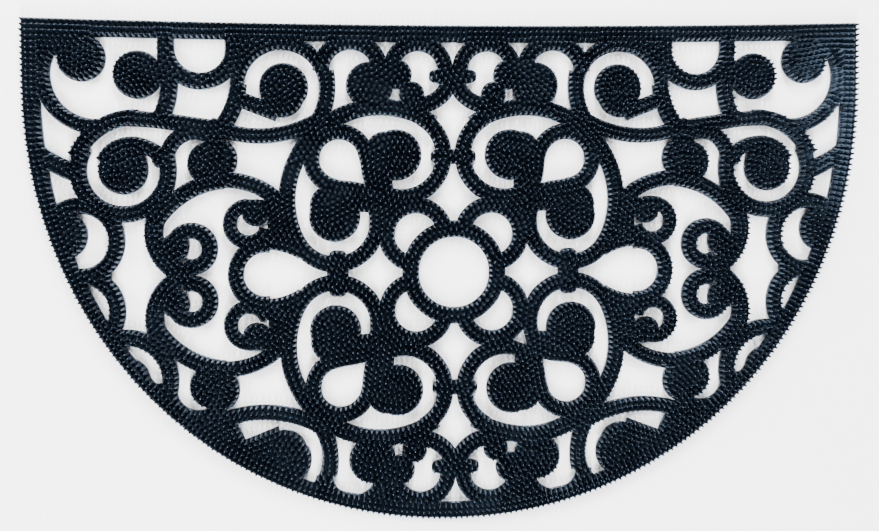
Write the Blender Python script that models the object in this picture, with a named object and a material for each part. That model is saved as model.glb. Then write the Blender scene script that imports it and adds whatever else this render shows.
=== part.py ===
"""Half-round rubber doormat, moulded in one piece as an openwork of scrolled bars.

The plan is drawn in millimetres about the centre of its middle ring, with +Y towards the
straight edge. The tables give one quarter of the scrollwork, mirrored to the other three:
part rings, bars, eyes (the round ends that the scrolls curl into) and knuckles (the collars
where two bars meet). Their union with the border band is the plan of the mat, and what they
leave open is cut right through it.
"""

import math
from collections import namedtuple

import bmesh
import bpy
import numpy as np
from mathutils import Vector
from mathutils.geometry import delaunay_2d_cdt

MM = 0.001

# Driving dimensions in millimetres
MAT_WIDTH = 748.5
MAT_THICKNESS = 10.5
RING_TO_EDGE = 220.5
EDGE_BOW = 4.8
RING_TO_SHOULDER = 170.0
CURVE_DEPTH = 391.5
CURVE_POWER = 2.05
BORDER_AT_EDGE = 15.2
BORDER_AT_SIDES = 15.5
BORDER_AT_FOOT = 14.2
WINDOW_POWER = 2.09
KNUCKLE_POWER = 3.4

# Fineness of the outlines in millimetres and square millimetres
CHORD_ERROR = 0.3
WELD_GAP = 0.6
STRAIGHT_ERROR = 0.12
SAME_POINT = 0.0001
SMALLEST_GAP = 72.0
EDGE_STEPS = 12
CURVE_STEPS = 26
KNUCKLE_STEPS = 20

RUBBER_COLOR = (0.012, 0.013, 0.014, 1.0)
RUBBER_ROUGHNESS = 0.55
SHARP_ANGLE = 30.0

# A part ring: its centre, the radius of its middle line, the angle in degrees where it starts,
# how far it sweeps (anticlockwise is positive) and the width of its bar. A row with diagonal
# set is mirrored about the line y = x as well, since the middle of the pattern is a square one.
Ring = namedtuple("Ring", "name x y radius start sweep width diagonal")
RINGS = (
    Ring("middle ring", 0.0, 0.0, 39.1, -10, 110, 14.9, False),
    Ring("petal", 34.0, 34.0, 26.2, -78, 246, 14.7, True),
    Ring("inner scroll, upper", 46.0, 104.9, 37.4, 300, -182, 14.6, False),
    Ring("inner scroll, side", 105.6, 45.7, 37.5, 150, 182, 14.6, False),
    Ring("great arc", 65.2, 65.1, 82.7, -35, 160, 15.2, False),
    Ring("drop", 101.8, 101.6, 24.4, -70, 230, 14.3, False),
    Ring("top trefoil, over", 31.0, 180.0, 24.5, 205, -200, 14.3, False),
    Ring("top trefoil, under", 32.0, 180.0, 30.9, 188, 82, 14.8, False),
    Ring("top scroll", 90.8, 179.5, 26.4, 178, -177, 14.8, False),
    Ring("large scroll", 151.6, 165.1, 39.1, 178, -188, 12.8, False),
    Ring("large scroll, curl", 152.0, 159.0, 13.7, 285, -105, 13.9, False),
    Ring("top bow", 222.2, 200.0, 29.6, 180, 180, 15.0, False),
    Ring("corner scroll", 311.6, 176.1, 45.3, -96, 136, 13.5, False),
    Ring("side scroll", 289.0, 92.5, 38.5, 30, -230, 14.9, False),
    Ring("hook", 227.0, 101.3, 24.7, 10, 170, 13.8, False),
    Ring("edge scroll", 326.6, 30.8, 31.3, 40, 280, 14.5, False),
    Ring("pear head", 167.0, 0.0, 26.3, -10, 110, 14.0, False),
    Ring("small curl", 181.8, 44.8, 16.2, 100, -265, 12.5, False),
    Ring("side curl", 231.5, 23.2, 16.1, 30, 270, 14.5, False),
)

# A bar from one point to another. Its bow is how far its middle lies to the left of the
# straight line between them.
Bar = namedtuple("Bar", "name x0 y0 x1 y1 bow width diagonal")
BARS = (
    Bar("stem, inner", 60.0, 58.0, 62.0, 92.0, 0.0, 14.0, True),
    Bar("stem, outer", 69.2, 68.0, 78.4, 110.0, -1.0, 14.0, True),
    Bar("top scroll, side", 112.7, 179.5, 119.5, 136.0, -4.0, 14.6, False),
    Bar("large scroll, fall", 189.3, 168.0, 203.2, 131.0, -2.9, 15.3, False),
    Bar("large scroll, sill", 215.0, 132.8, 122.0, 135.2, 11.7, 13.7, False),
    Bar("large scroll, neck", 192.0, 156.0, 155.0, 141.6, 0.0, 14.2, False),
    Bar("top bow, inner post", 186.0, 214.0, 186.0, 192.0, 0.0, 30.0, False),
    Bar("top bow, outer post", 251.7, 214.0, 251.7, 180.0, 0.0, 14.6, False),
    Bar("top bow, drop", 250.4, 185.0, 255.6, 140.0, -3.8, 15.3, False),
    Bar("corner plate", 368.0, 206.0, 318.0, 206.0, 0.0, 28.0, False),
    Bar("side scroll, lead-in", 212.0, 129.5, 284.0, 138.2, 0.9, 14.5, False),
    Bar("side scroll, crown", 276.0, 138.6, 329.0, 104.3, 10.4, 14.4, False),
    Bar("side scroll, neck", 253.5, 101.8, 279.0, 115.4, 2.4, 13.6, False),
    Bar("side scroll, curl", 278.2, 115.2, 306.0, 100.0, 5.5, 13.0, False),
    Bar("side tie", 362.0, 108.0, 330.0, 90.0, 1.0, 15.6, False),
    Bar("side arch, outer", 264.0, 44.0, 203.0, 83.0, -9.0, 15.0, False),
    Bar("side arch, inner", 203.0, 83.6, 156.0, 65.7, -5.0, 14.2, False),
    Bar("side curl, back", 256.8, 60.0, 240.8, 2.0, 14.0, 16.6, False),
    Bar("pear, flank", 168.0, 29.1, 136.0, 20.5, -2.0, 14.0, False),
    Bar("small curl, root", 157.0, 26.0, 157.0, 66.0, 0.0, 16.0, False),
    Bar("edge scroll, tie", 300.0, 0.0, 334.0, 0.0, 0.0, 14.5, False),
)

# An eye: a disc at the end of a scroll, or one lobe of a trefoil
Eye = namedtuple("Eye", "name x y radius diagonal")
EYES = (
    Eye("inner scroll, upper", 51.2, 105.1, 22.9, False),
    Eye("inner scroll, upper root", 60.0, 107.5, 19.0, False),
    Eye("inner scroll, side", 106.0, 50.9, 22.8, False),
    Eye("inner scroll, side root", 108.6, 60.2, 19.4, False),
    Eye("trefoil, low lobe", 36.6, 159.5, 11.2, False),
    Eye("trefoil, side lobe", 49.7, 176.7, 13.3, False),
    Eye("top scroll", 74.3, 167.1, 21.0, False),
    Eye("large scroll", 149.8, 165.0, 21.7, False),
    Eye("top bow", 276.0, 175.9, 21.2, False),
    Eye("corner scroll", 323.5, 190.5, 20.8, False),
    Eye("side scroll", 289.0, 92.9, 21.6, False),
    Eye("side scroll, neck root", 257.0, 101.5, 7.5, False),
    Eye("hook", 214.6, 98.1, 19.8, False),
    Eye("hook, root", 209.4, 101.8, 19.0, False),
    Eye("edge scroll", 341.0, 35.9, 21.2, False),
    Eye("small curl", 175.5, 54.7, 12.2, False),
    Eye("small curl, root", 164.5, 58.5, 9.0, False),
    Eye("side curl", 245.2, 25.4, 12.4, False),
)

# A knuckle: a rounded block over the meeting of two bars, with its half length each way
Knuckle = namedtuple("Knuckle", "name x y half_x half_y")
KNUCKLES = (
    Knuckle("top", 0.0, 175.2, 21.5, 6.8),
    Knuckle("middle", 0.0, 103.5, 20.5, 6.8),
    Knuckle("side", 103.6, 0.0, 9.6, 20.7),
)

# The one gap with no mirror twin: a small triangle beside the middle ring, by its corners
ODD_GAP = ((53.0, -62.0), (66.0, -66.6), (62.2, -53.2))


def clear_scene():
    for obj in list(bpy.data.objects):
        bpy.data.objects.remove(obj, do_unlink=True)


def arc(x, y, radius, start, sweep, reach):
    """Points along a circle from angle start through sweep, all in degrees. There are as many
    as keep the chords of a circle of radius reach within CHORD_ERROR of it."""
    step = 2 * math.acos(1 - CHORD_ERROR / reach)
    count = max(2, math.ceil(math.radians(abs(sweep)) / step) + 1)
    angle = np.radians(start + sweep * np.linspace(0, 1, count))
    return np.column_stack((x + radius * np.cos(angle), y + radius * np.sin(angle)))


def ring_outline(ring):
    """The outer arc of the part ring, then the inner one backwards."""
    outer = ring.radius + ring.width / 2
    inner = ring.radius - ring.width / 2
    out = arc(ring.x, ring.y, outer, ring.start, ring.sweep, outer)
    back = arc(ring.x, ring.y, inner, ring.start, ring.sweep, inner)
    return np.concatenate((out, back[::-1]))


def bar_outline(bar):
    """A straight bar is a rectangle. A bowed one is part of a ring: with half its length h and
    its bow b, the radius is (h*h + b*b) / 2b."""
    start = np.array((bar.x0, bar.y0))
    end = np.array((bar.x1, bar.y1))
    half = np.linalg.norm(end - start) / 2
    along = (end - start) / (2 * half)
    left = np.array((-along[1], along[0]))
    if not bar.bow:
        side = left * bar.width / 2
        return np.array((start + side, end + side, end - side, start - side))
    radius = (half**2 + bar.bow**2) / (2 * abs(bar.bow))
    centre = (start + end) / 2 + left * (bar.bow - math.copysign(radius, bar.bow))
    first = math.degrees(math.atan2(*(start - centre)[::-1]))
    sweep = math.degrees(2 * math.asin(half / radius))
    if abs(bar.bow) > radius:
        sweep = 360 - sweep
    sweep = -math.copysign(sweep, bar.bow)
    return ring_outline(Ring(bar.name, *centre, radius, first, sweep, bar.width, False))


def eye_outline(eye):
    return arc(eye.x, eye.y, eye.radius, 0, 360, eye.radius)[:-1]


def knuckle_outline(knuckle):
    """A superellipse: |x/a|^p + |y/b|^p = 1, which is a block with soft corners."""
    angle = np.radians(np.arange(KNUCKLE_STEPS) * 360 / KNUCKLE_STEPS)
    unit = np.column_stack((np.cos(angle), np.sin(angle)))
    unit = np.sign(unit) * np.abs(unit) ** (2 / KNUCKLE_POWER)
    return (knuckle.x, knuckle.y) + unit * (knuckle.half_x, knuckle.half_y)


def turned_left(outline):
    """The outline with its points in anticlockwise order."""
    following = np.roll(outline, -1, axis=0)
    area = (outline[:, 0] * following[:, 1] - following[:, 0] * outline[:, 1]).sum()
    return outline if area > 0 else outline[::-1]


def scrollwork():
    """The outlines of all four quarters of the pattern."""
    quarter = []
    for rows, outline_of in ((RINGS, ring_outline), (BARS, bar_outline), (EYES, eye_outline)):
        for row in rows:
            quarter.append(outline_of(row))
            if row.diagonal:
                quarter.append(quarter[-1][:, ::-1])
    quarter += [knuckle_outline(row) for row in KNUCKLES]
    mirrors = ((1, 1), (-1, 1), (1, -1), (-1, -1))
    return [turned_left(outline * mirror) for outline in quarter for mirror in mirrors]


def rim_outline(edge, side, foot, power):
    """The mat's outline, or one that lies inside it by edge, side and foot. The straight edge is
    a shallow parabola that bows inwards. Below the shoulders the curve is a half superellipse."""
    half = MAT_WIDTH / 2 - side
    x = np.linspace(half, -half, EDGE_STEPS + 1)
    bow = EDGE_BOW * (2 * x / MAT_WIDTH) ** 2
    straight = np.column_stack((x, RING_TO_EDGE - edge + bow))
    angle = np.linspace(math.pi, 2 * math.pi, 2 * CURVE_STEPS + 1)
    unit = np.column_stack((np.cos(angle), np.sin(angle)))
    unit = np.sign(unit) * np.abs(unit) ** (2 / power)
    curve = (0, RING_TO_SHOULDER) + unit * (half, CURVE_DEPTH - foot)
    return np.concatenate((straight, curve))


def triangulated(outlines):
    """Triangles that follow every side of the outlines, and for each one the numbers of the
    outlines that cover it."""
    points = [Vector(point) for outline in outlines for point in outline]
    faces = []
    for outline in outlines:
        first = sum(len(face) for face in faces)
        faces.append(list(range(first, first + len(outline))))
    joined = delaunay_2d_cdt(points, [], faces, 0, SAME_POINT, True)
    corners, _, triangles, _, _, covers = joined
    return np.array(corners), np.array(triangles), [set(cover) for cover in covers]


def loops_around(triangles):
    """The closed loops of corner numbers along the edge of a set of triangles."""
    sides = {(a, b) for face in triangles for a, b in zip(face, np.roll(face, -1))}
    onward = {}
    for a, b in sides:
        if (b, a) not in sides:
            onward.setdefault(a, []).append(b)
    loops = []
    while onward:
        start = min(onward)
        loop = [start]
        while True:
            nexts = onward[loop[-1]]
            step = nexts.pop()
            if not nexts:
                del onward[loop[-1]]
            if step == start:
                break
            loop.append(step)
        loops.append(loop)
    return loops


def loop_area(loop):
    following = np.roll(loop, -1, axis=0)
    return (loop[:, 0] * following[:, 1] - following[:, 0] * loop[:, 1]).sum() / 2


def tidied(loop):
    """The loop without points that crowd the one before them or lie on a straight run."""
    changed = True
    while changed and len(loop) > 3:
        before = np.roll(loop, 1, axis=0)
        after = np.roll(loop, -1, axis=0)
        run = after - before
        reach = np.linalg.norm(run, axis=1)
        away = loop - before
        offset = np.abs(run[:, 0] * away[:, 1] - run[:, 1] * away[:, 0])
        offset /= np.maximum(reach, SAME_POINT)
        crowded = np.linalg.norm(away, axis=1) < WELD_GAP
        drop = crowded | (offset < STRAIGHT_ERROR)
        drop &= ~np.roll(drop, 1)
        if drop[0]:
            drop[-1] = False
        changed = bool(drop.any())
        loop = loop[~drop]
    return loop


def plan():
    """The mat's plan as triangles: the border band and the scrollwork inside the outline,
    without the specks that the border cuts off from a gap."""
    outlines = [
        rim_outline(0.0, 0.0, 0.0, CURVE_POWER),
        rim_outline(BORDER_AT_EDGE, BORDER_AT_SIDES, BORDER_AT_FOOT, WINDOW_POWER),
        turned_left(np.array(ODD_GAP)),
        *scrollwork(),
    ]
    corners, triangles, covers = triangulated(outlines)
    # The first three outlines by number. A third number in the window is a bar's.
    mat, window, odd_gap = 0, 1, 2
    solid = [
        mat in cover and odd_gap not in cover and (window not in cover or len(cover) > 2)
        for cover in covers
    ]
    loops = [tidied(corners[loop]) for loop in loops_around(triangles[np.array(solid)])]
    kept = [loop for loop in loops if loop_area(loop) > 0 or loop_area(loop) < -SMALLEST_GAP]
    kept.sort(key=loop_area, reverse=True)
    corners, triangles, covers = triangulated([turned_left(loop) for loop in kept])
    return corners, triangles[[cover == {mat} for cover in covers]]


def rubber():
    material = bpy.data.materials.new("moulded_rubber")
    material.use_nodes = True
    shader = material.node_tree.nodes["Principled BSDF"]
    shader.inputs["Base Color"].default_value = RUBBER_COLOR
    shader.inputs["Roughness"].default_value = RUBBER_ROUGHNESS
    shader.inputs["Metallic"].default_value = 0.0
    material.diffuse_color = RUBBER_COLOR
    return material


def make_mat():
    """The plan raised to the mat's thickness, with its underside on z = 0 and the middle of
    its bounding box over the origin."""
    corners, triangles = plan()
    middle = (corners.min(axis=0) + corners.max(axis=0)) / 2
    corners = (corners - middle) * MM
    sheet = bmesh.new()
    verts = [sheet.verts.new((x, y, 0.0)) for x, y in corners]
    faces = [sheet.faces.new([verts[i] for i in triangle]) for triangle in triangles]
    raised = bmesh.ops.extrude_face_region(sheet, geom=faces)
    top = [item for item in raised["geom"] if isinstance(item, bmesh.types.BMVert)]
    bmesh.ops.translate(sheet, verts=top, vec=(0.0, 0.0, MAT_THICKNESS * MM))
    loose = [vert for vert in sheet.verts if not vert.link_faces]
    bmesh.ops.delete(sheet, geom=loose, context="VERTS")
    bmesh.ops.recalc_face_normals(sheet, faces=sheet.faces)
    mesh = bpy.data.meshes.new("mat")
    sheet.to_mesh(mesh)
    sheet.free()
    mesh.materials.append(rubber())
    mesh.shade_smooth()
    mesh.set_sharp_from_angle(angle=math.radians(SHARP_ANGLE))
    mat = bpy.data.objects.new("mat", mesh)
    bpy.context.scene.collection.objects.link(mat)


clear_scene()
make_mat()
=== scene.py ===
"""The half-round rubber doormat as it is moulded: a thin web with a rolled rim round every gap,
and thousands of tapered scraper pins that stand on it in rows.

The plan comes from the frame's one node, "mat". Sizes are in millimetres until a mesh is made
of them. Every surface is a grid of points: round an outline and up its rim, or round a pin
and up its side.
"""

import math

import bmesh
import bpy
import numpy as np
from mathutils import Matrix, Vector
from mathutils.bvhtree import BVHTree
from mathutils.geometry import delaunay_2d_cdt
from mathutils.kdtree import KDTree


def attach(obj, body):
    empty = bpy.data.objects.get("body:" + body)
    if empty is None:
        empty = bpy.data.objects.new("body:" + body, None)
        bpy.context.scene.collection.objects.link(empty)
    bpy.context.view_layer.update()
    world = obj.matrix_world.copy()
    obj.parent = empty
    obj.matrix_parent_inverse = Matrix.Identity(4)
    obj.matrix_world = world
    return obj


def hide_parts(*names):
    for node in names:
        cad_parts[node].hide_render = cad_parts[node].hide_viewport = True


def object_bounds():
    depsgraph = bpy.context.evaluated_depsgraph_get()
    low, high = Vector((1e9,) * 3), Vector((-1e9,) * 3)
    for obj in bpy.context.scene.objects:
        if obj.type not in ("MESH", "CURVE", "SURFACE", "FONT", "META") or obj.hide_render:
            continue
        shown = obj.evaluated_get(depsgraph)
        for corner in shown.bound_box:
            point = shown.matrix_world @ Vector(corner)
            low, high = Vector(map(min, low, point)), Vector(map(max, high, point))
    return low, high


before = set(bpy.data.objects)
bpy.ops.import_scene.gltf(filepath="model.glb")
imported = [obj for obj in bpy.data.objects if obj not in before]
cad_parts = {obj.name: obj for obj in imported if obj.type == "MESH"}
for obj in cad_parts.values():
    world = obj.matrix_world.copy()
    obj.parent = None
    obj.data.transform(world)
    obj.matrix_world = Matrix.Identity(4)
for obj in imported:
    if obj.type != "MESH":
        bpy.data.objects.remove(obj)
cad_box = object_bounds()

MM = 0.001

# The plan. A turn above SHARPEST_CURVE stays a corner. A chord is cut into pieces that turn by
# about CURVE_STEP each.
SAME_POINT = 0.0001
SHARPEST_CURVE = math.radians(33)
CURVE_STEP = math.radians(7)
MOST_PIECES = 12

# The web. The rim's section gives inset and height, from the underside up. A mitre is held to
# MOST_MITRE, and FOLDED is the least that 1 + cos(turn) may be as its divisor.
WEB_THICKNESS = 3.0
RIM_SECTION = ((0.35, 0.0), (0.0, 0.35), (0.0, 2.25), (0.22, 2.72), (0.75, 3.0))
MOST_MITRE = 2.2
FOLDED = 0.05

# A pin. The foot's section gives radius and height above the web, the tip's gives radius and
# drop below the pin's end. Lean (at the tip) and girth are spreads, and height is a share.
PIN_TOP = cad_box[1].z / MM
PIN_SIDES = 8
PIN_FOOT = ((2.3, -0.1), (1.5, 0.7))
PIN_TIP = ((0.86, 0.95), (0.68, 0.36), (0.38, 0.08))
SHORTEST_PIN = 0.965
PIN_LEAN = 0.16
PIN_GIRTH = 0.03
PIN_SEED = 11

# The rows of pins: the pitch along a row, how deep inside the edge the first row lies, and the
# step from row to row. A row may come nearer to another edge than to its own by the slack.
PITCH = 4.75
RIM_PITCH = 4.95
FIRST_ROW = 2.15
ROW_STEP = 4.7
ROWS = 6
RIM_ROWS = 3
FIRST_SLACK = 0.3
LATER_SLACK = 1.4
WIDEST_BAR = 18.0
STRAIGHT_BAR = math.radians(7)
CLOSEST = PITCH * 0.78
SAMPLE_STEP = 0.6
FAN_STEP = math.radians(9)

# The loose pins between the rows: filled in on a grid, then eased apart, a few times over
FILL_ROUNDS = 2
FILL_GRID = PITCH / 4
FILL_APART = PITCH * 0.8
FILL_REACH = PITCH * 3
FILL_DEPTH = FIRST_ROW * 0.9
EASE_ROUNDS = 18
EASE_REACH = PITCH * 1.12
EASE_SHARE = 0.3

# The pins are four pieces, from left to right, with these places in x between them
PIN_PIECES = ("pins_left", "pins_middle_left", "pins_middle_right", "pins_right")
PIECE_ENDS = (-190, 0, 190)

# The rubber: features a metre of its worn patches and of the skin's grain, where in the
# patches' noise (0 to 1) the dark ends and the pale begins, and the same for gloss and matt,
# the grain's strength and height in metres, and a reflection a little bluer than white
PATCHES = 18.0
GRAIN = 900.0
DARK_UP_TO = 0.35
PALE_FROM = 0.7
GLOSS_UP_TO = 0.3
MATT_FROM = 0.7
GRAIN_STRENGTH = 0.12
GRAIN_HEIGHT = 0.0001
RUBBER_IOR = 1.52
SKIN_TINT = "#b4d8ff"

# The camera, above the mat and a little left of and behind its middle. Its turn is in degrees.
# The picture's size, the focal length and the lens axis are in pixels.
CAMERA_AT = (-65.7, 63.1, 761.3)
CAMERA_TURN = (-0.877, -3.887, -0.415)
IMAGE_WIDTH, IMAGE_HEIGHT = 879, 531
FOCAL_PIXELS = 850.0
OPTICAL_CENTRE = (437.8, 213.1)
NEAREST_SEEN = 10.0

# The floor, a hair below the mat
FLOOR_REACH = 4000.0
FLOOR_HEIGHT = -0.02
FLOOR_WHITE = "#fbfbfb"
FLOOR_ROUGHNESS = 0.9

# The light: the world around, and for each soft box its place, width and height in metres and
# its power in watts
WORLD_COLOR = (0.9, 0.95, 1.0, 1.0)
WORLD_STRENGTH = 0.06
BOXES = (
    ("window", (-2.2, 0.6, 0.8), 1.0, 1.0, 100),
    ("left box", (-2.2, 0.5, 1.3), 0.8, 0.8, 100),
    ("right box", (2.4, 0.4, 1.3), 0.8, 0.8, 95),
    ("back box", (0.2, 2.1, 1.4), 0.8, 0.8, 230),
    ("front box", (-0.1, -2.1, 1.4), 0.8, 0.8, 230),
    ("streak box", (1.31, 0.286, 1.6), 0.5, 0.24, 3.5),
)


def linear(code):
    """An sRGB hex colour as linear red, green, blue and alpha."""
    parts = (int(code[i : i + 2], 16) / 255 for i in (1, 3, 5))
    return (*(c / 12.92 if c <= 0.04045 else ((c + 0.055) / 1.055) ** 2.4 for c in parts), 1.0)


def node(tree, kind, settings=(), links=()):
    """Adds a node to the tree. Settings are (name, value) pairs: a socket's name or number, or
    one of the node's own properties. Links are (socket, output socket) pairs."""
    made = tree.nodes.new(kind)
    for name, value in settings:
        if isinstance(name, str) and hasattr(made, name):
            setattr(made, name, value)
        else:
            made.inputs[name].default_value = value
    for name, output in links:
        tree.links.new(output, made.inputs[name])
    return made


def mesh_piece(name, points, faces, material, smooth=True):
    """A piece from points in millimetres and faces as arrays of corner numbers."""
    mesh = bpy.data.meshes.new(name)
    mesh.from_pydata(points * MM, [], faces)
    mesh.validate()
    mesh.materials.append(material)
    if smooth:
        mesh.shade_smooth()
    piece = bpy.data.objects.new(name, mesh)
    bpy.context.scene.collection.objects.link(piece)
    return piece


# The plan


def chains(sides):
    """Closed chains of corner numbers from a table of sides, one row (from, to) for each."""
    onward = dict(sides)
    found = []
    while onward:
        chain = [min(onward)]
        while onward[chain[-1]] != chain[0]:
            chain.append(onward.pop(chain[-1]))
        del onward[chain[-1]]
        found.append(chain)
    return found


def enclosed(outline):
    """The area inside an outline, negative where it runs clockwise."""
    after = np.roll(outline, -1, axis=0)
    return (outline[:, 0] * after[:, 1] - after[:, 0] * outline[:, 1]).sum() / 2


def plan_outlines(solid):
    """The outlines of the solid's flat top, with the rubber on their left: the outer edge,
    then one for each gap. They are the sides that only one triangle of the top has."""
    sheet = bmesh.new()
    sheet.from_mesh(solid.data)
    bmesh.ops.remove_doubles(sheet, verts=sheet.verts, dist=SAME_POINT * MM)
    points = np.array([vert.co for vert in sheet.verts]) / MM
    faces = np.array([[vert.index for vert in face.verts] for face in sheet.faces])
    sheet.free()
    top = faces[(points[faces, 2] > PIN_TOP / 2).all(axis=1)]
    sides = np.concatenate((top[:, [0, 1]], top[:, [1, 2]], top[:, [2, 0]]))
    sides = {tuple(side) for side in sides.tolist()}
    open_sides = {side for side in sides if side[::-1] not in sides}
    outlines = [points[chain][:, :2] for chain in chains(open_sides)]
    return sorted(outlines, key=enclosed, reverse=True)


def unit(vectors):
    return vectors / np.maximum(np.linalg.norm(vectors, axis=-1, keepdims=True), SAME_POINT)


def turned(vectors, angle):
    """Plane vectors turned left by an angle."""
    cos, sin = np.cos(angle), np.sin(angle)
    x, y = vectors[..., 0], vectors[..., 1]
    return np.stack((x * cos - y * sin, x * sin + y * cos), axis=-1)


def between(ahead, following):
    """The angle from one plane vector left to the next."""
    cross = ahead[..., 0] * following[..., 1] - ahead[..., 1] * following[..., 0]
    return np.arctan2(cross, (ahead * following).sum(axis=-1))


def numbered(counts):
    """For counts (2, 3): which row each item is in (0, 0, 1, 1, 1), and its place in that row
    (0, 1, 0, 1, 2)."""
    row = np.repeat(np.arange(len(counts)), counts)
    return row, np.arange(len(row)) - np.repeat(np.cumsum(counts) - counts, counts)


def rounded(outline):
    """The outline with its short chords made curves again. Each chord is a cubic between its
    ends whose end directions are those of the circle through three neighbouring corners. At a
    sharp corner the direction mirrors that at the chord's other end."""
    after = np.roll(outline, -1, axis=0)
    length = np.linalg.norm(after - outline, axis=1)[:, None]
    chord = (after - outline) / length
    before = np.roll(chord, 1, axis=0)
    direction = unit(before * length + chord * np.roll(length, 1, axis=0))
    sharp = (np.abs(between(before, chord)) > SHARPEST_CURVE)[:, None]
    start, end = direction, np.roll(direction, -1, axis=0)
    sharp_end = np.roll(sharp, -1, axis=0)
    mirrored_end = 2 * (chord * end).sum(axis=1)[:, None] * chord - end
    mirrored_start = 2 * (chord * start).sum(axis=1)[:, None] * chord - start
    first = np.where(sharp, np.where(sharp_end, chord, mirrored_end), start)
    last = np.where(sharp_end, np.where(sharp, chord, mirrored_start), end)
    counts = np.ceil(np.abs(between(first, last)) / CURVE_STEP).astype(int).clip(1, MOST_PIECES)
    row, place = numbered(counts)
    t = (place / counts[row])[:, None]
    leave, arrive = first[row] * length[row], last[row] * length[row]
    return (
        (1 + 2 * t) * (1 - t) ** 2 * outline[row]
        + t * (1 - t) ** 2 * leave
        + t**2 * (3 - 2 * t) * after[row]
        - t**2 * (1 - t) * arrive
    )


def inward(outline):
    """At each corner, how it moves for each millimetre that the outline's sides move left:
    the sum of the two sides' normals over 1 + cos(turn)."""
    chord = unit(np.roll(outline, -1, axis=0) - outline)
    left = turned(chord, math.pi / 2)
    before = np.roll(left, 1, axis=0)
    mitre = (left + before) / np.maximum(1 + (left * before).sum(axis=1), FOLDED)[:, None]
    size = np.linalg.norm(mitre, axis=1, keepdims=True)
    return mitre * np.minimum(1, MOST_MITRE / size)


def flat_cap(outlines):
    """Triangles between the outlines, as rows of corner numbers counted through all of them."""
    counts = [len(outline) for outline in outlines]
    starts = np.cumsum(counts) - counts
    points = [Vector(point) for outline in outlines for point in outline]
    loops = [list(range(a, a + n)) for a, n in zip(starts, counts)]
    loops[1:] = [loop[::-1] for loop in loops[1:]]
    joined = delaunay_2d_cdt(points, [], loops, 0, SAME_POINT, True)
    _, _, triangles, origins, _, covers = joined
    own = np.array([origin[0] for origin in origins])
    kept = [tri for tri, cover in zip(triangles, covers) if list(cover) == [0]]
    return own[np.array(kept)]


# The web


def make_web(outlines, material):
    """Round every outline the rim's section is carried as a strip: point (i, j) is corner i
    moved left by the section's inset j, at its height j. Flat caps close the top and underside
    between the innermost points. The strips' quads are shaded smooth, the caps flat."""
    points, faces, first = [], [], 0
    rim = len(RIM_SECTION)
    rings = []
    for outline in outlines:
        shift = inward(outline)
        n = len(outline)
        inset, height = np.array(RIM_SECTION).T
        grid = np.empty((rim, n, 3))
        grid[:, :, :2] = outline + shift * inset[:, None, None]
        grid[:, :, 2] = height[:, None]
        points.append(grid.reshape(-1, 3))
        number = first + np.arange(rim * n).reshape(rim, n)
        ahead = np.roll(number, -1, axis=1)
        strip = np.stack((number[:-1], ahead[:-1], ahead[1:], number[1:]), axis=-1)
        faces += strip.reshape(-1, 4).tolist()
        rings.append(number)
        first += rim * n
    points = np.concatenate(points)
    for level, order in ((rim - 1, 1), (0, -1)):
        numbers = np.concatenate([ring[level] for ring in rings])
        cap = flat_cap([points[ring[level], :2] for ring in rings])
        faces += numbers[cap][:, ::order].tolist()
    web = mesh_piece("web", points, faces, material)
    corners = np.empty(len(web.data.polygons), int)
    web.data.polygons.foreach_get("loop_total", corners)
    web.data.polygons.foreach_set("use_smooth", corners == 4)
    return web


# The pins


def sampled(outline):
    """Places every SAMPLE_STEP along the outline, each with its direction to the left. Where
    the outline turns, a fan of directions shares the corner. The third table has the middle
    of each fan instead."""
    after = np.roll(outline, -1, axis=0)
    length = np.linalg.norm(after - outline, axis=1)
    chord = (after - outline) / length[:, None]
    left = turned(chord, math.pi / 2)
    before = np.roll(left, 1, axis=0)
    turn = between(before, left)
    fans = np.ceil(np.abs(turn) / FAN_STEP).astype(int)
    corner, place = numbered(fans)
    share = (place + 0.5) / fans[corner]
    fan_left = turned(before[corner], turn[corner] * share)
    fan_middle = turned(before[corner], turn[corner] / 2)
    counts = np.ceil(length / SAMPLE_STEP).astype(int)
    side, step = numbered(counts)
    along = ((step + 0.5) / counts[side])[:, None]
    places = np.concatenate((outline[corner], outline[side] * (1 - along) + after[side] * along))
    directions = np.concatenate((fan_left, left[side]))
    middles = np.concatenate((fan_middle, left[side]))
    order = np.argsort(np.concatenate((corner, side + 0.5)), kind="stable")
    return places[order], directions[order], middles[order]


def tree_of(points):
    tree = KDTree(len(points))
    for i, (x, y) in enumerate(points):
        tree.insert((x, y, 0.0), i)
    tree.balance()
    return tree


def distances(tree, points):
    return np.array([tree.find((x, y, 0.0))[2] for x, y in points])


def depths(points, edges, samples):
    """How deep inside the rubber each point lies, and the direction that leads further in."""
    places, _, middles = samples
    near = np.array([edges.find((x, y, 0.0))[1] for x, y in points])
    away = points - places[near]
    side = np.sign((away * middles[near]).sum(axis=1, keepdims=True))
    return side[:, 0] * np.linalg.norm(away, axis=1), side * unit(away)


def spaced(run, closed, pitch):
    """Rows of a table taken a pitch apart along the run of points in its first two columns, with
    the pitch trimmed to fit."""
    if closed:
        run = np.concatenate((run, run[:1]))
    steps = np.linalg.norm(np.diff(run[:, :2], axis=0), axis=1)
    reach = np.concatenate(([0], np.cumsum(steps)))
    count = round(reach[-1] / pitch)
    if closed:
        stations = (np.arange(count) + 0.5) * reach[-1] / max(count, 1)
    elif count:
        stations = np.linspace(0, reach[-1], count + 1)
    else:
        stations = np.array([reach[-1] / 2])
    return np.column_stack([np.interp(stations, reach, column) for column in run.T])


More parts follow.
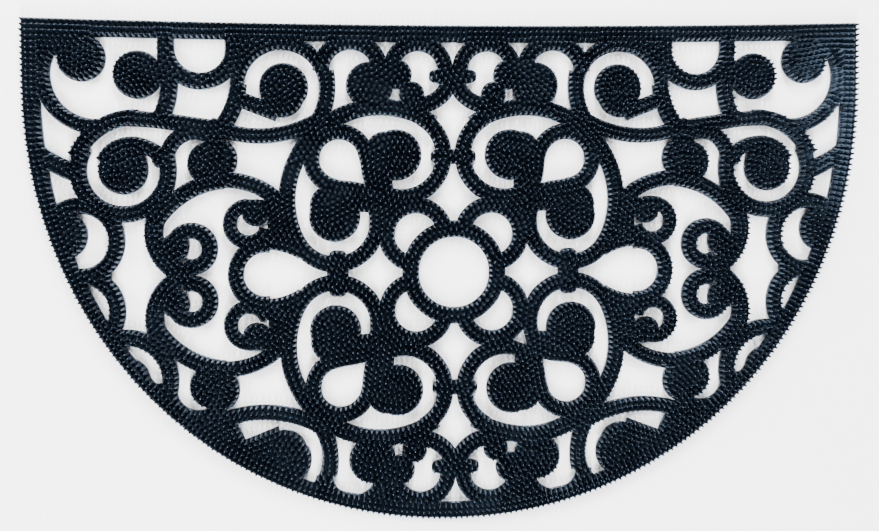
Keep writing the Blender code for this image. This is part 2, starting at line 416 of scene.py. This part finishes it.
def row_of_pins(samples, depth, slack, edges, pitch):
    """Pins along the line that lies depth inside an outline, wherever no other stretch of edge
    is nearer to it than that, less the slack. Each row of the table is a pin's place and the
    direction inwards."""
    places, directions, _ = samples
    line = np.column_stack((places + directions * depth, directions))
    clear = distances(edges, line[:, :2]) > depth - slack
    if not clear.any():
        return [np.empty((0, 4))]
    gap = np.linalg.norm(line - np.roll(line, 1, axis=0), axis=1)
    starts = clear & (~np.roll(clear, 1) | (gap > pitch / 2))
    if not starts.any():
        return [spaced(line[clear], True, pitch)]
    turn = -np.argmax(starts)
    line, clear, starts = (np.roll(item, turn, axis=0) for item in (line, clear, starts))
    label = np.cumsum(starts)[clear]
    runs = np.split(line[clear], np.flatnonzero(np.diff(label)) + 1)
    return [spaced(run, False, pitch) for run in runs]


def upright_walls(outlines):
    """The outlines' sides as walls from z = -1 to 1, to measure across the rubber."""
    points, faces, first = [], [], 0
    for outline in outlines:
        n = len(outline)
        for level in (-1.0, 1.0):
            points += np.column_stack((outline, np.full(n, level))).tolist()
        side = first + np.arange(n)
        ahead = np.roll(side, -1)
        faces += np.column_stack((side, ahead, ahead + n, side + n)).tolist()
        first += 2 * n
    return BVHTree.FromPolygons(points, faces)


def columns_of_pins(row, walls, is_rim):
    """From each pin of a first row, a column of pins straight inwards. Across a nearly straight
    bar the column is spaced evenly from edge to edge. Elsewhere only the rim has columns."""
    bends = np.abs(between(row[:-1, 2:], row[1:, 2:]))
    bends = np.maximum(np.append(bends, 0), np.append(0, bends))
    columns = []
    for (x, y, dx, dy), bend in zip(row, bends):
        reach = walls.ray_cast((x, y, 0.0), (dx, dy, 0.0))[3] or 0.0
        room = reach - FIRST_ROW
        if reach + FIRST_ROW < WIDEST_BAR and (is_rim or bend < STRAIGHT_BAR):
            steps = np.linspace(0, room, max(round(room / ROW_STEP), 0) + 1)
        elif is_rim:
            steps = np.arange(RIM_ROWS) * ROW_STEP
        else:
            continue
        columns.append((x, y) + np.outer(steps, (dx, dy)))
    return columns


class Spots:
    """Accepted pins, kept in square cells so that the near ones are quick to find."""

    def __init__(self):
        self.cells = {}
        self.points = []
        self.fixed = []

    def is_free(self, x, y, least):
        column, row = int(x // PITCH), int(y // PITCH)
        return all(
            (x - a) ** 2 + (y - b) ** 2 >= least**2
            for i in (-1, 0, 1)
            for j in (-1, 0, 1)
            for a, b in self.cells.get((column + i, row + j), ())
        )

    def add(self, groups, least, fixed):
        """Accepts each group of points that has no accepted pin nearer than least."""
        for group in groups:
            if all(self.is_free(x, y, least) for x, y in group):
                for x, y in group:
                    self.cells.setdefault((int(x // PITCH), int(y // PITCH)), []).append((x, y))
                    self.points.append((x, y))
                    self.fixed.append(fixed)


def relaxed(points, fixed, edges, samples):
    """Loose pins pushed apart where they crowd, and away from the edges, over a few rounds.
    A pin nearer to another than EASE_REACH moves away by a share of what it lacks."""
    for _ in range(EASE_ROUNDS):
        tree = tree_of(points)
        pairs = [
            (i, j)
            for i, (x, y) in enumerate(points)
            for _, j, _ in tree.find_range((x, y, 0.0), EASE_REACH)
            if i != j and not fixed[i]
        ]
        i, j = np.array(pairs).T
        away = points[i] - points[j]
        reach = np.linalg.norm(away, axis=1)[:, None]
        push = np.zeros_like(points)
        np.add.at(push, i, away / reach * (EASE_REACH - reach) * EASE_SHARE)
        loose = np.flatnonzero(~fixed)
        depth, inwards = depths(points[loose], edges, samples)
        push[loose] += inwards * np.maximum(FIRST_ROW - depth, 0)[:, None]
        points = points + push
    return points


def fill(spots, samples, edges):
    """Pins wherever a fine grid of places still has room for one, nearest to the others first."""
    low, high = samples[0].min(axis=0), samples[0].max(axis=0)
    axes = (np.arange(a, b, FILL_GRID) for a, b in zip(low, high))
    grid = np.stack(np.meshgrid(*axes), axis=-1).reshape(-1, 2)
    apart = distances(tree_of(spots.points), grid)
    open_places = (apart > FILL_APART) & (apart < FILL_REACH)
    grid, apart = grid[open_places], apart[open_places]
    inside = depths(grid, edges, samples)[0] > FILL_DEPTH
    grid = grid[inside][np.argsort(apart[inside], kind="stable")]
    spots.add(grid[:, None], FILL_APART, False)


def pin_places(outlines):
    """Columns of pins across the rim and the straight bars, then rows that follow every edge,
    then pins in what is left, which are eased apart."""
    samples = [sampled(outline) for outline in outlines]
    everything = tuple(np.concatenate(parts) for parts in zip(*samples))
    edges = tree_of(everything[0])
    walls = upright_walls(outlines)
    spots = Spots()
    pitches = [RIM_PITCH] + [PITCH] * (len(outlines) - 1)
    first_rows = [
        row_of_pins(outline_samples, FIRST_ROW, FIRST_SLACK, edges, pitch)
        for outline_samples, pitch in zip(samples, pitches)
    ]
    for number, rows in enumerate(first_rows):
        for row in rows:
            spots.add(columns_of_pins(row, walls, number == 0), CLOSEST, True)
    for rows in first_rows:
        for row in rows:
            spots.add(row[:, None, :2], CLOSEST, True)
    for depth in FIRST_ROW + ROW_STEP * np.arange(1, ROWS):
        for outline_samples in samples:
            for row in row_of_pins(outline_samples, depth, LATER_SLACK, edges, PITCH):
                spots.add(row[:, None, :2], CLOSEST, False)
    for _ in range(FILL_ROUNDS):
        fill(spots, everything, edges)
        points, fixed = np.array(spots.points), np.array(spots.fixed)
        points = relaxed(points, fixed, edges, everything)
        spots = Spots()
        spots.add(points[fixed][:, None], 0, True)
        spots.add(points[~fixed][:, None], 0, False)
    return np.array(spots.points)


def make_pins(name, places, random, material):
    """Pins at the given places. Point (j, k) of a pin is at the section's radius j, turned by
    the angle k, at its height j; the tip closes it above and a flat foot below. Each pin has
    its own height, turn, small lean and girth."""
    n = len(places)
    tall = PIN_TOP - WEB_THICKNESS
    foot_radius, foot_height = np.array(PIN_FOOT).T
    tip_radius, tip_drop = np.array(PIN_TIP).T
    radius = np.concatenate((foot_radius, tip_radius, [0.0]))
    height = np.concatenate((foot_height, tall - tip_drop, [tall]))
    stretch = 1 - (1 - SHORTEST_PIN) * random.random((n, 1))
    spin = random.random((n, 1)) * math.tau
    lean = random.normal(0, PIN_LEAN, (n, 1, 1, 2))
    girth = 1 + random.normal(0, PIN_GIRTH, (n, 1))
    angle = spin + np.arange(PIN_SIDES) * math.tau / PIN_SIDES
    ring = np.stack((np.cos(angle), np.sin(angle)), axis=-1)
    grid = np.empty((n, len(radius), PIN_SIDES, 3))
    grid[..., :2] = ring[:, None] * (girth * radius)[..., None, None] + places[:, None, None]
    grid[..., :2] += lean * (height / tall).clip(0)[:, None, None]
    grid[..., 2] = (WEB_THICKNESS + height * stretch)[..., None]
    levels = len(radius) - 1
    body = grid[:, :levels].reshape(n, -1, 3)
    points = np.concatenate((body, grid[:, levels:, :1].reshape(n, 1, 3)), axis=1)
    number = np.arange(levels * PIN_SIDES).reshape(levels, PIN_SIDES)
    ahead = np.roll(number, -1, axis=1)
    walls = np.stack((number[:-1], ahead[:-1], ahead[1:], number[1:]), axis=-1).reshape(-1, 4)
    tip = np.stack((number[-1], ahead[-1], np.full(PIN_SIDES, levels * PIN_SIDES)), axis=-1)
    foot = number[0][::-1]
    each = (np.arange(n) * points.shape[1])[:, None, None]
    faces = []
    for part in (walls, tip, foot[None]):
        faces += (part + each).reshape(-1, part.shape[1]).tolist()
    return mesh_piece(name, points.reshape(-1, 3), faces, material)


# Materials


def moulded_rubber(name, dark, pale, gloss, matt, shine):
    """Black vulcanised rubber, straight from the mould: carbon black makes it near black with
    a blue cast, the mould's skin gives a soft sheen, and handling leaves paler, duller patches."""
    material = bpy.data.materials.new(name)
    material.use_nodes = True
    tree = material.node_tree
    tree.nodes.clear()
    place = node(tree, "ShaderNodeTexCoord").outputs["Object"]
    patches = node(
        tree, "ShaderNodeTexNoise", (("Scale", PATCHES), ("Detail", 3.0)), (("Vector", place),)
    )
    skin = node(
        tree, "ShaderNodeTexNoise", (("Scale", GRAIN), ("Detail", 2.0)), (("Vector", place),)
    )
    color = node(tree, "ShaderNodeValToRGB", (), (("Fac", patches.outputs["Fac"]),))
    color.color_ramp.elements[0].position = DARK_UP_TO
    color.color_ramp.elements[0].color = linear(dark)
    color.color_ramp.elements[1].position = PALE_FROM
    color.color_ramp.elements[1].color = linear(pale)
    rough = node(
        tree,
        "ShaderNodeMapRange",
        (("From Min", GLOSS_UP_TO), ("From Max", MATT_FROM), ("To Min", gloss), ("To Max", matt)),
        (("Value", patches.outputs["Fac"]),),
    )
    bump = node(
        tree,
        "ShaderNodeBump",
        (("Strength", GRAIN_STRENGTH), ("Distance", GRAIN_HEIGHT)),
        (("Height", skin.outputs["Fac"]),),
    )
    shader = node(
        tree,
        "ShaderNodeBsdfPrincipled",
        (
            ("IOR", RUBBER_IOR),
            ("Specular IOR Level", shine),
            ("Specular Tint", linear(SKIN_TINT)),
        ),
        (
            ("Base Color", color.outputs["Color"]),
            ("Roughness", rough.outputs["Result"]),
            ("Normal", bump.outputs["Normal"]),
        ),
    )
    node(tree, "ShaderNodeOutputMaterial", (), (("Surface", shader.outputs["BSDF"]),))
    return material


def floor_paint():
    """Matt white board, which gives the eye a plain pale ground."""
    material = bpy.data.materials.new("white_board")
    material.use_nodes = True
    shader = material.node_tree.nodes["Principled BSDF"]
    shader.inputs["Base Color"].default_value = linear(FLOOR_WHITE)
    shader.inputs["Roughness"].default_value = FLOOR_ROUGHNESS
    return material


# The stage


def make_floor():
    corners = ((-1, -1), (1, -1), (1, 1), (-1, 1))
    points = np.array([(x * FLOOR_REACH, y * FLOOR_REACH, FLOOR_HEIGHT) for x, y in corners])
    floor = mesh_piece("floor", points, [[0, 1, 2, 3]], floor_paint(), smooth=False)


def make_light(name, place, width, height, power):
    """A soft box that faces the mat."""
    lamp = bpy.data.lights.new(name, "AREA")
    lamp.shape = "RECTANGLE"
    lamp.size = width
    lamp.size_y = height
    lamp.energy = power
    light = bpy.data.objects.new(name, lamp)
    light.location = place
    light.rotation_mode = "QUATERNION"
    light.rotation_quaternion = (-Vector(place)).to_track_quat("-Z", "Y")
    bpy.context.scene.collection.objects.link(light)


def make_camera():
    """The lens and its shift are worked out from the picture: the focal length in pixels, and
    the pixel that the lens axis meets."""
    lens = bpy.data.cameras.new("camera")
    lens.lens = FOCAL_PIXELS / IMAGE_WIDTH * lens.sensor_width
    lens.shift_x = (IMAGE_WIDTH / 2 - OPTICAL_CENTRE[0]) / IMAGE_WIDTH
    lens.shift_y = (OPTICAL_CENTRE[1] - IMAGE_HEIGHT / 2) / IMAGE_WIDTH
    lens.clip_start = NEAREST_SEEN * MM
    camera = bpy.data.objects.new("camera", lens)
    camera.location = Vector(CAMERA_AT) * MM
    camera.rotation_euler = [math.radians(angle) for angle in CAMERA_TURN]
    bpy.context.scene.collection.objects.link(camera)
    bpy.context.scene.camera = camera


make_camera()
make_floor()
for box in BOXES:
    make_light(*box)
world = bpy.data.worlds.new("studio")
world.use_nodes = True
background = world.node_tree.nodes["Background"]
background.inputs["Color"].default_value = WORLD_COLOR
background.inputs["Strength"].default_value = WORLD_STRENGTH
bpy.context.scene.world = world

pin_rubber = moulded_rubber(
    "moulded_rubber", dark="#070b10", pale="#0b1219", gloss=0.23, matt=0.3, shine=0.5
)
# The web is the same rubber as the pins, but its colours are a little darker: painted shade for
# the dark that falls between the pins
web_rubber_painted_shade = moulded_rubber(
    "web_rubber_painted_shade", dark="#060a0f", pale="#0a1016", gloss=0.1, matt=0.15, shine=0.4
)
outlines = [rounded(outline) for outline in plan_outlines(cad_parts["mat"])]
web = make_web(outlines, web_rubber_painted_shade)
places = pin_places(outlines)

random = np.random.default_rng(PIN_SEED)
in_piece = np.digitize(places[:, 0], PIECE_ENDS)
pins = []
for number, name in enumerate(PIN_PIECES):
    pins.append(make_pins(name, places[in_piece == number], random, pin_rubber))

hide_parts("mat")
for piece in (web, *pins):
    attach(piece, "root")
